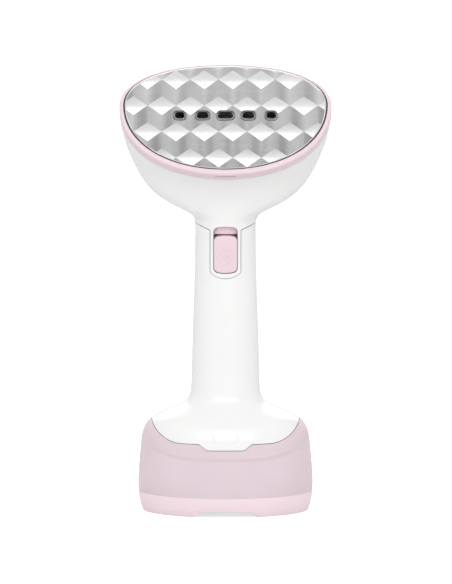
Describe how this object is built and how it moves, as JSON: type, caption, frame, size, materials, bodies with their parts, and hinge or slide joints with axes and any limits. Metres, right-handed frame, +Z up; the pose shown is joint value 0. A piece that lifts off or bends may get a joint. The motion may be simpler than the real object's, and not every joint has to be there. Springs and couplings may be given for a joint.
{
  "type": "handheld garment steamer",
  "caption": "Handheld garment steamer standing on its lift-off water tank, with a tilted faceted steam plate, a sliding trigger and a hinged filler cap.",
  "frame": {"origin": "middle of the tank's foot, on the surface that it stands on", "axes": "+Z up, -Y towards the steam plate and trigger at the front, +X to the right seen from the front"},
  "size_m": [0.124, 0.0864, 0.2619],
  "materials": {
    "white_shell": "gloss",
    "white_inner": "satin",
    "pink_trim": "satin",
    "pink_tank": "translucent satin",
    "pink_foot": "satin",
    "pink_button": "satin",
    "steam_plate": "polished facets",
    "outlet_metal": "bright",
    "cast_aluminium": "as cast",
    "heater_steel": "heat tinted",
    "strap_steel": "galvanised",
    "screw_steel": "zinc plated",
    "spring_steel": "bright",
    "brass_fitting": "satin",
    "grey_silicone": "matte",
    "clear_silicone": "satin",
    "black_rubber": "matte",
    "black_plastic": "satin",
    "grey_plastic": "satin",
    "thermostat_ceramic": "matte",
    "motor_steel": "plated",
    "board_green": "satin"
  },
  "bodies": {
    "water_tank": {"tank_shell": "pink_tank", "tank_foot": "pink_foot", "foot_pads": "black_rubber", "hinge_pin": "screw_steel", "intake_collar": "clear_silicone", "pickup_tube": "clear_silicone"},
    "handset": {"front_cover": "white_shell", "rear_shell": "white_shell", "head_shell": "white_shell", "base_cover": "white_inner", "plate_ring": "pink_trim", "plate_seal": "grey_silicone", "soleplate": "steam_plate", "steam_nozzles": "outlet_metal", "boiler_body": "cast_aluminium", "boiler_gasket": "black_rubber", "boiler_screws": "screw_steel", "heating_element": "heater_steel", "boiler_inlet": "brass_fitting", "thermostat": "thermostat_ceramic", "thermal_fuse": "motor_steel", "boiler_strap": "strap_steel", "strap_screws": "screw_steel", "intake_nipple": "grey_plastic", "intake_oring": "black_rubber", "pump_motor": "motor_steel", "pump_head": "black_plastic", "intake_hose": "clear_silicone", "water_hose": "clear_silicone", "switch_bracket": "grey_plastic", "micro_switch": "black_plastic", "circuit_board": "board_green", "board_components": "black_plastic", "board_screws": "screw_steel", "cord_gland": "white_inner", "housing_screws": "screw_steel"},
    "trigger_carrier": {"trigger_carrier": "pink_button", "trigger_spring": "spring_steel"},
    "steam_trigger": {"steam_trigger": "pink_button"},
    "filler_cap": {"filler_cap": "pink_foot", "filler_plug": "clear_silicone"}
  },
  "joints": [
    {"name": "handset_lift", "type": "slide", "parent": "water_tank", "child": "handset", "axis": [0, 0, 1], "range_m": [0, 0.055]},
    {"name": "trigger_lock", "type": "slide", "parent": "handset", "child": "trigger_carrier", "axis": [0, 0, 1], "range_m": [0, 0.0038]},
    {"name": "trigger_press", "type": "hinge", "parent": "trigger_carrier", "child": "steam_trigger", "pos_m": [0, -0.0124, 0.1442], "axis": [-1, 0, 0], "range_deg": [0, 6.2], "stiffness_Nm_per_rad": 0.05, "springref_deg": -8.59, "deforming": ["trigger_spring"]},
    {"name": "filler_cap_hinge", "type": "hinge", "parent": "water_tank", "child": "filler_cap", "pos_m": [0, 0.0415, 0.0139], "axis": [-1, 0, 0], "range_deg": [0, 100]}
  ]
}
